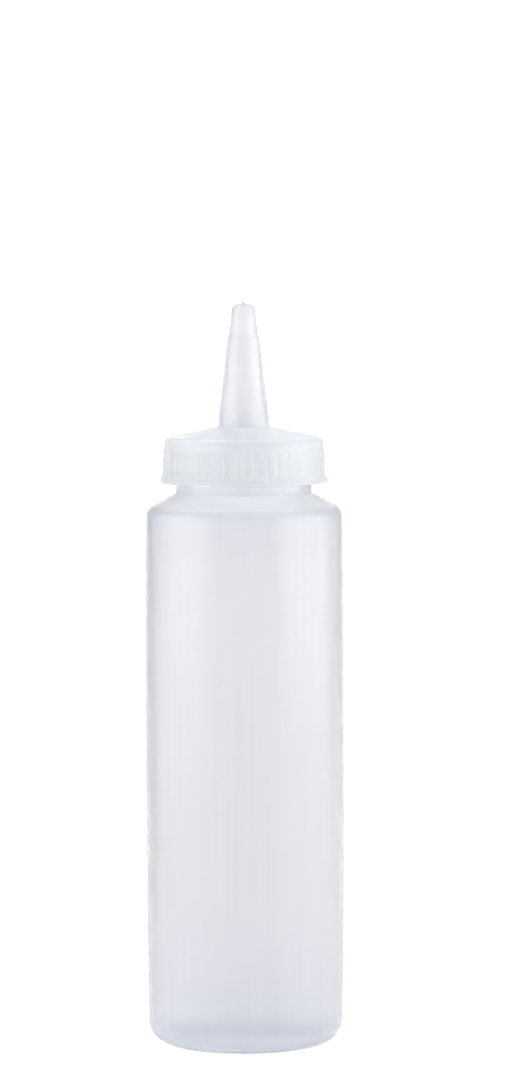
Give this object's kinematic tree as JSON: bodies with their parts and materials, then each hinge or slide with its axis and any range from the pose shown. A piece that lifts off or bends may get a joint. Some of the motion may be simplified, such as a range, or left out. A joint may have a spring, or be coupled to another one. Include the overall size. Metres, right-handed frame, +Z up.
{
  "type": "condiment squeeze bottle",
  "caption": "Translucent squeeze bottle for condiments: barrelled body, screw neck, sealing washer and a ribbed screw cap with a tall closed conical nozzle.",
  "frame": {"origin": "centre of the base ring that the bottle stands on", "axes": "+Z up the bottle's axis towards the nozzle tip"},
  "size_m": [0.0508, 0.0508, 0.1909],
  "materials": {
    "natural_bottle": "natural low-density polyethylene, milky and translucent, soft satin sheen",
    "natural_cap": "natural low-density polyethylene, milky and translucent, a little denser than the bottle",
    "washer": "off-white soft closure foam"
  },
  "bodies": {
    "bottle": {"bottle": "natural_bottle"},
    "washer": {"sealing_washer": "washer"},
    "cap": {"nozzle_cap": "natural_cap"}
  },
  "joints": [
    {"name": "cap_lift", "type": "slide", "parent": "bottle", "child": "washer", "axis": [0, 0, 1], "range_m": [0, 0.00452]},
    {"name": "cap_turn", "type": "hinge", "parent": "washer", "child": "cap", "pos_m": [0, 0, 0.15], "axis": [0, 0, 1], "range_deg": [0, 380]}
  ],
  "couplings": [
    {"joint": "cap_lift", "follows": "cap_turn", "m_per_rad": 0.00067376}
  ]
}
